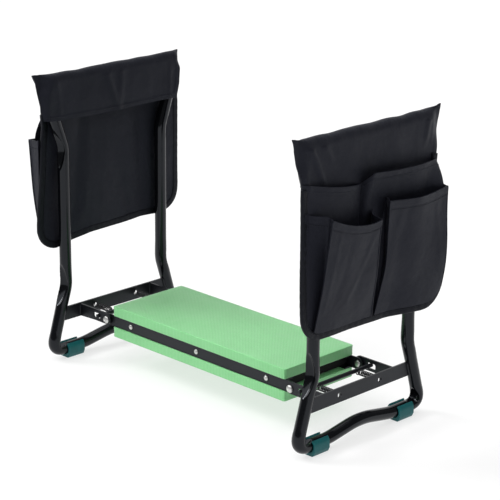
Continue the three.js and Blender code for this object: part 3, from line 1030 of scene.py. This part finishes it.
def pockets_of(bag):
    """The bag's three pockets as (suffix, side, grid, thickness), nearest lower one first."""
    m = bag.s

    def turned(points):
        return np.array(points) * MM * (m, m, 1, 1, 1, m, 1)

    def foot(y):
        return bag.bottom_z(y) + 0.0112

    lip = bag.lip

    first = [(-148.5, -149, 0.6, 0.6, 388.5, 0, 0), (-143, -143, 0.8, 1, 386.5, 0, 0),
             (-140, -139, 1, 2, 385, 0, 0), (-127.5, -129, 0.8, 10, 383.5, 8, 0),
             (-118, -119, 1, 18, 382.5, 8, 0), (-120, -119.5, 2.6, 26.2, 381.5, 5, 0),
             (-125, -121.2, 4.6, 29.6, 380.5, 1.5, 0.4), (-126.4, -121.6, 5.6, 30.6, 380, 1, 0.6),
             (-125, -120, 5.6, 30.6, 379.8, 1, 0.4)]
    first += front(-118, -10, 379, 356.5, 30.5, 28.8, -123.2, 1, 5.2, 5, 3, 7.5)
    first += [(3, -8.2, 5, 28.8, 357, -3, 0.4), (3.6, -7.8, 4.8, 28.4, 358, -3, 0.4),
              (2.8, -8.6, 3.4, 26.2, 359, -3, 0), (-3, -15, 1.4, 14, 364, 0, 0),
              (4, 1, 0.6, 0.8, 372, 0, 0)]
    second = [(6.6, 6, 0.6, 0.8, 383, 0, 0), (17, 24, 1.2, 10, 383, 2, 0), (12, 11, 3, 25.8, 382.5, 7, 0),
              (9.6, 8.6, 4.6, 28.6, 382.2, 7, 0.4), (9.8, 8.8, 5, 29.2, 382, 6.5, 0.4)]
    second += front(11, 142, 382, 379, 29.2, lip, 12, 138.5, 4.8, 5, 3, 4)
    second += [(141.2, 143.8, 5.4, lip + 0.4, 379, 0, 3), (141.8, 144.4, 4.8, lip, 379, 0, 3),
               (141, 143.6, 3.4, lip - 3, 379, 0, 3), (144, 146.2, 2, 10, 380, 0, 2),
               (146.2, 147.2, 0.6, 1, 381.5, 0, 0), (148.2, 148.4, 0.6, 0.6, 383, 0, 0)]
    upper = [(-148, -152, 0.4, 0.4, 431, 0, 0), (-142, -144, 0.6, 2, 430, 0, 0)]
    upper += front(-142, -29, 430, 411, 3, 4, -140, -29, 0.6, 0.6, 8, 2, 8)
    upper += [(-27.2, -27.2, 0.3, 0.3, 409.5, 0, 0), (-26.2, -26.2, 0.3, 0.4, 409.5, 0, 0),
              (-25, -25, 0.6, 3, 412.5, 0, 0), (-21.5, -21.5, 1, 12, 420.5, 0, 0),
              (-18, -18, 1.2, 17, 426, 0, 0), (-15.5, -15.5, 1.2, 18, 427.5, 0, 0)]
    upper += front(-14, 126, 427.5, 421, 18.2, 11, -14, 126, 1.2, 1.2, 3, 3, 10)
    upper += [(134, 134, 1.2, 7, 419, 0, 13), (139.5, 139.5, 1, 3, 417.5, 0, 17),
              (141.5, 141.5, 0.6, 0.8, 416.5, 0, 19)]

    def slants(table):
        return np.array(table) * FOLD_UNITS * (m, 1, m, 1, 1, 1)

    first_folds = [(-18, 340, -0.5, 6, 0.9, 230), (-100, 360, -0.1, 4.5, 0.6, 215),
                   (-70, 345, -0.22, 7, -0.6, 220)]
    second_folds = [(40, 360, -0.16, 8, 0.7, 230), (118, 360, 0.12, 6, 0.6, 240)]
    near_side, far_side = ("front", "back") if m > 0 else ("back", "front")

    def lower(points, seed, folds):
        return pocket_grid(bag, turned(points), foot, 0.003, bag.seed + seed, slants(folds))

    def seam(y):
        return np.full_like(y, 0.318)

    return [(f"pocket_lower_{near_side}", *lower(first, 20, first_folds)),
            (f"pocket_lower_{far_side}", *lower(second, 31, second_folds)),
            ("pocket_upper", *pocket_grid(bag, turned(upper), seam, 0.0012, bag.seed + 50, levels=40))]


bags = {
    "right": Bag(
        1,
        near=[(187, -147.5), (244, -150), (300, -151.5), (380, -152), (410, -152.7), (438, -152),
              (453, -155), (468, -158.2), (484, -161.5), (494.3, -165)],
        far=[(187, 149), (250, 150), (330, 148.5), (380, 145.5), (414, 144), (430, 146.5), (461, 151),
             (476, 154.5), (486, 158), (494.3, 162)],
        flap_near=[(416, -126.2), (438, -128.5), (456, -135), (482, -153.5), (494.3, -163.5)],
        flap_far=[(416, 142), (450, 145), (478, 153), (494.3, 160.5)],
        bottom=[(-150, 189), (-40, 187.5), (15, 186), (120, 185), (150, 187)],
        corners=(40, 44), curl=16,
        folds=[(-138, 490, 0.5, 6, 3.6, 415), (-147, 485, 0.12, 4.5, 2.2, 405),
               (-112, 492, 0.62, 7, 2.6, 440), (128, 488, -0.2, 6, 2, 430), (60, 480, -0.15, 16, 0.7, 420)],
        flap_folds=[(20, 480, 0.2, 9, 1.2, 410), (-60, 480, -0.1, 7, 0.9, 410)],
        tips=(4, 4.6), shut=3.5, flap_shut=(130, 0.1), lip=22, seed=40),
    "left": Bag(
        -1,
        near=[(187, -150), (231, -152.5), (283, -150), (334, -146.5), (367, -145), (404, -141), (440, -145),
              (460, -149), (472, -153.5), (484, -161), (494.3, -167.5)],
        far=[(187, 157), (258, 159), (400, 159), (438, 156), (455, 152), (470, 149), (476, 145.5),
             (481, 142.5), (487, 146.5), (494.3, 152)],
        flap_near=[(416, -153), (431, -155), (456, -158), (482, -161), (494.3, -166.5)],
        flap_far=[(416, 133), (440, 140), (470, 144), (481, 141), (494.3, 152)],
        bottom=[(-150, 192), (-116, 192.5), (-85, 200), (-44, 206.5), (24, 208), (70, 210), (103, 208),
                (160, 211)],
        corners=(36, 34), curl=3,
        folds=[(118, 490, -0.35, 8, 2, 430), (-120, 490, 0.3, 7, 1.8, 430), (-60, 440, -0.06, 13, 3, 230),
               (70, 430, 0.02, 15, 2.6, 220), (20, 300, 0.3, 11, 1.8, 205)],
        flap_folds=[(-22, 486, 0.34, 7, 2.4, 400), (12, 486, -0.1, 7, 1.8, 400),
                    (-128, 486, 0.1, 5, 1, 400), (122, 470, -0.1, 5, 1, 400)],
        tips=(1.2, 0.4), shut=3.5, flap_shut=(144, 0.5), lip=30, seed=77),
}


def edge_path(bag):
    """The panel's edge as (y, z), down the near side, along the bottom and up the far side."""
    top = 0.425
    r0, r1 = bag.corners
    left, right = bag.near[0][1] + r0, bag.far[0][1] - r1
    points = [(float(lookup(bag.near, z)), z) for z in np.linspace(top, PANEL_FOOT + r0, 60)]

    def lower(y, shift=0.0):
        points.append((float(y) + shift, float(bag.bottom_z(np.array(y)))))

    def corner(centre, r, start, shift0, shift1):
        for k in range(1, 14):
            lower(centre + r * math.cos(start + math.pi / 2 * k / 13), shift0 + (shift1 - shift0) * k / 13)

    corner(left, r0, math.pi, points[-1][0] - (left - r0), 0.0)
    for y in np.linspace(left, right, 70)[1:]:
        lower(y)
    corner(right, r1, -math.pi / 2, 0.0, float(lookup(bag.far, PANEL_FOOT + r1)) - (right + r1))
    points += [(float(lookup(bag.far, z)), z) for z in np.linspace(points[-1][1], top, 60)[1:]]
    points = np.array(points)
    length = run_length(points)
    return points_at(points, length, np.linspace(0, length[-1], 320)).T


def inward_of(path, s):
    """Unit vectors pointing from the panel's edge into the panel."""
    n = np.tile((s, 0.0, 0.0), (len(path), 1))
    across = np.cross(n, tangents(path))
    middle = path.mean(0)
    sign = np.sign(np.sum(across * (middle - path), axis=1))
    return n, across * sign[:, None]


for end, s in ENDS:
    bag, leg = bags[end], f"{end}_leg"
    sheet, grid = main_sheet(end, bag)
    y, z = edge_path(bag)
    edge = bag.place(y, z, bag.stand(y, z) + 0.0012)
    normals, inward = inward_of(edge, s)
    centre = edge + inward * 0.0052
    binding = strip(f"{end}_bag_binding", centre, normals, leg, 0.0118, 0.0062)
    seam = edge + inward * 0.0086 + normals * 0.0031
    with_sheet = [binding, stitches(f"{end}_binding_thread", seam[4:-4], normals[4:-4], leg)]
    path, across = line_on(grid, -5, -s, 0.0012)
    with_sheet.append(stitches(f"{end}_flap_thread", path[2:-2], across[2:-2], leg))
    for suffix, g, thick in pockets_of(bag):
        flip = slice(None) if s > 0 else slice(None, None, -1)
        verts, faces = sheet_solid(g[:, flip], thick[:, flip])
        obj = make(f"{end}_{suffix}_cloth", verts, faces, CLOTH, leg)
        crisp(obj, 60)
        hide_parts(f"{end}_{suffix}")
        path, across = line_on(g, -9, s, 0.0011)
        extra = [stitches(f"{end}_{suffix}_thread", path[3:-3], across[3:-3], leg)]
        if "lower" in suffix:
            stand = np.abs(g[-1, :, 0]) - FRAME_X
            across = np.where(stand > 0.8 * stand.max(), g[-1, :, 1], np.nan)
            for tag, column in (("rear", np.nanargmax(across)), ("front", np.nanargmin(across))):
                crest = g[:-1, column] + (s * 0.0004, 0, 0)
                normals = np.tile((s, 0.0, 0.0), (len(crest), 1))
                extra.append(strip(f"{end}_{suffix}_crest_{tag}", crest, normals, leg, 0.0022, 0.0024,
                                   CLOTH, 0.02))
        for piece in (obj, *extra):
            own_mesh(piece)


# ------------------------------------------------------------------ floor, light, camera
FLOOR_REACH = 40.0
look = Look("floor_white", roughness=0.9, Specular_IOR_Level=0.1, Emission_Strength=0.66)
look.bsdf.inputs["Base Color"].default_value = (0.3, 0.3, 0.3, 1)
look.bsdf.inputs["Emission Color"].default_value = (1, 1, 1, 1)
corners = [(FLOOR_REACH * x, FLOOR_REACH * y, 0) for x, y in ((-1, -1), (1, -1), (1, 1), (-1, 1))]
floor = make("floor", corners, [(0, 1, 2, 3)], look.mat, smooth=False)

world = bpy.data.worlds.new("studio")
bpy.context.scene.world = world
world.use_nodes = True
nodes, links = world.node_tree.nodes, world.node_tree.links
coords = nodes.new("ShaderNodeTexCoord")
behind = nodes.new("ShaderNodeVectorMath")
behind.operation = "DOT_PRODUCT"
behind.inputs[1].default_value = (-0.62, 0.62, -0.48)
links.new(coords.outputs["Generated"], behind.inputs[0])
glow = nodes.new("ShaderNodeMapRange")
glow.interpolation_type = "SMOOTHSTEP"
for socket, value in (("From Min", 0.1), ("From Max", 0.75), ("To Min", 0.14), ("To Max", 1.0)):
    glow.inputs[socket].default_value = value
links.new(behind.outputs["Value"], glow.inputs["Value"])
links.new(glow.outputs[0], nodes["Background"].inputs["Strength"])
nodes["Background"].inputs["Color"].default_value = (1.0, 1.0, 1.0, 1)


def sun(name, direction, strength, angle):
    """Broad soft light coming from this direction."""
    data = bpy.data.lights.new(name, "SUN")
    data.energy = strength
    data.angle = math.radians(angle)
    lamp = bpy.data.objects.new(name, data)
    bpy.context.scene.collection.objects.link(lamp)
    lamp.rotation_euler = Vector(direction).to_track_quat("Z", "Y").to_euler()
    return lamp


sun("key", (-0.85, -0.55, 0.95), 1.6, 22)
sun("top", (-0.1, -0.25, 1.0), 2.6, 90)
sun("rim", (0.9, 0.22, 0.75), 0.35, 14)

scene = bpy.context.scene
scene.view_settings.view_transform = "Standard"
scene.view_settings.look = "None"

AZIMUTH, ELEVATION, ROLL = math.radians(44.84), math.radians(17.84), math.radians(0.56)
DISTANCE, TARGET = 3.0058, Vector((0.0442, 0.0, 0.2427))
back = Vector((math.sin(AZIMUTH), -math.cos(AZIMUTH), math.tan(ELEVATION))) * math.cos(ELEVATION)
right = Vector((math.cos(AZIMUTH), math.sin(AZIMUTH), 0))
up = back.cross(right)
right, up = right * math.cos(ROLL) + up * math.sin(ROLL), up * math.cos(ROLL) - right * math.sin(ROLL)
camera_data = bpy.data.cameras.new("camera")
camera_data.sensor_width = 36.0
camera_data.lens = 136.16
camera_data.clip_start, camera_data.clip_end = 0.05, 60
camera = bpy.data.objects.new("camera", camera_data)
scene.collection.objects.link(camera)
place = Matrix((right, up, back)).transposed().to_4x4()
place.translation = TARGET + back * DISTANCE
camera.matrix_world = place
scene.camera = camera
